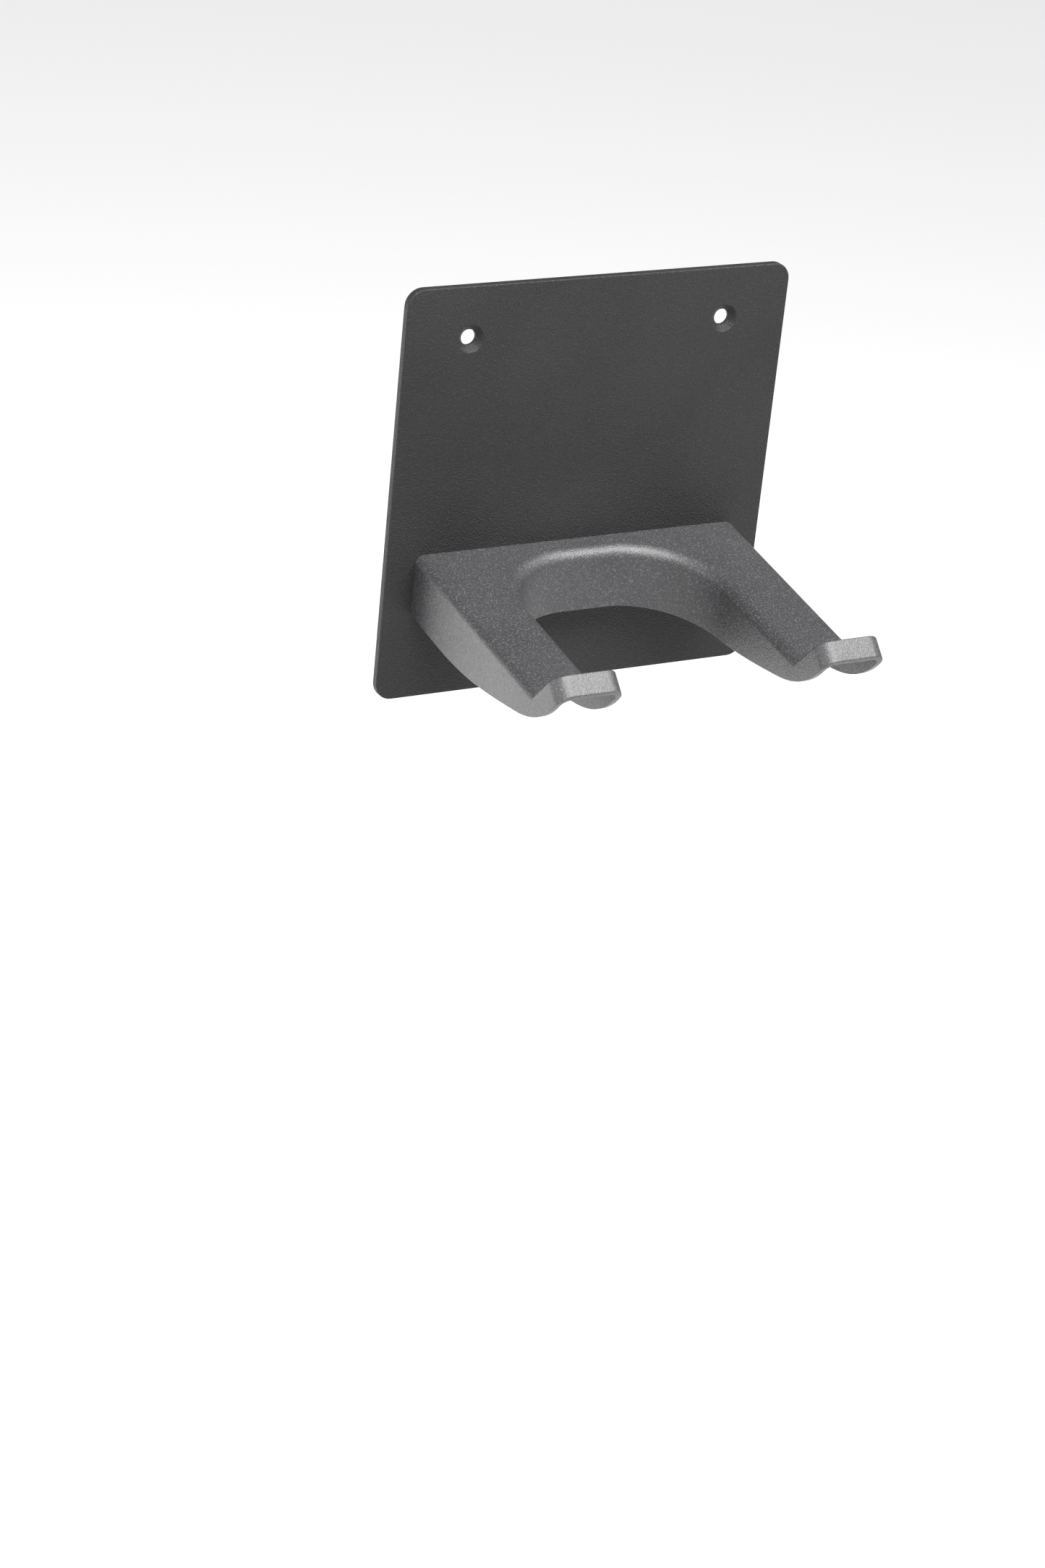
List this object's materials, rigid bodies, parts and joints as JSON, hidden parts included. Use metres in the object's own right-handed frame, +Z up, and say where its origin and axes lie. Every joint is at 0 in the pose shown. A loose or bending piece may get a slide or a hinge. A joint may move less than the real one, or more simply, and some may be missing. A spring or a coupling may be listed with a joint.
{
  "type": "hair dryer holder",
  "caption": "Wall-mounted hair dryer holder: a flat plate carrying a hollow moulded cradle whose two sloping arms end in upturned lips, with a slot between them for the dryer's neck.",
  "frame": {"origin": "middle of the plate's outline, on the plane of the wall that the foam pads stick to", "axes": "+Z up along the wall, +X to the right for someone facing the wall, -Y out of the wall along the arms"},
  "size_m": [0.12, 0.088, 0.12],
  "materials": {
    "powder_coat": "fine sand-grain matt black powder coat on steel",
    "moulded_plastic": "finely spark-eroded matt charcoal black ABS",
    "foam_tape": "dark grey closed-cell acrylic foam tape",
    "screw_steel": "zinc-plated steel",
    "insert_brass": "turned brass"
  },
  "bodies": {
    "root": {"wall_plate": "powder_coat", "cradle": "moulded_plastic", "upper_pad": "foam_tape", "lower_pad": "foam_tape", "cradle_screw_1": "screw_steel", "cradle_screw_2": "screw_steel", "cradle_screw_3": "screw_steel", "cradle_screw_4": "screw_steel", "screw_insert_1": "insert_brass", "screw_insert_2": "insert_brass", "screw_insert_3": "insert_brass", "screw_insert_4": "insert_brass"}
  },
  "joints": []
}
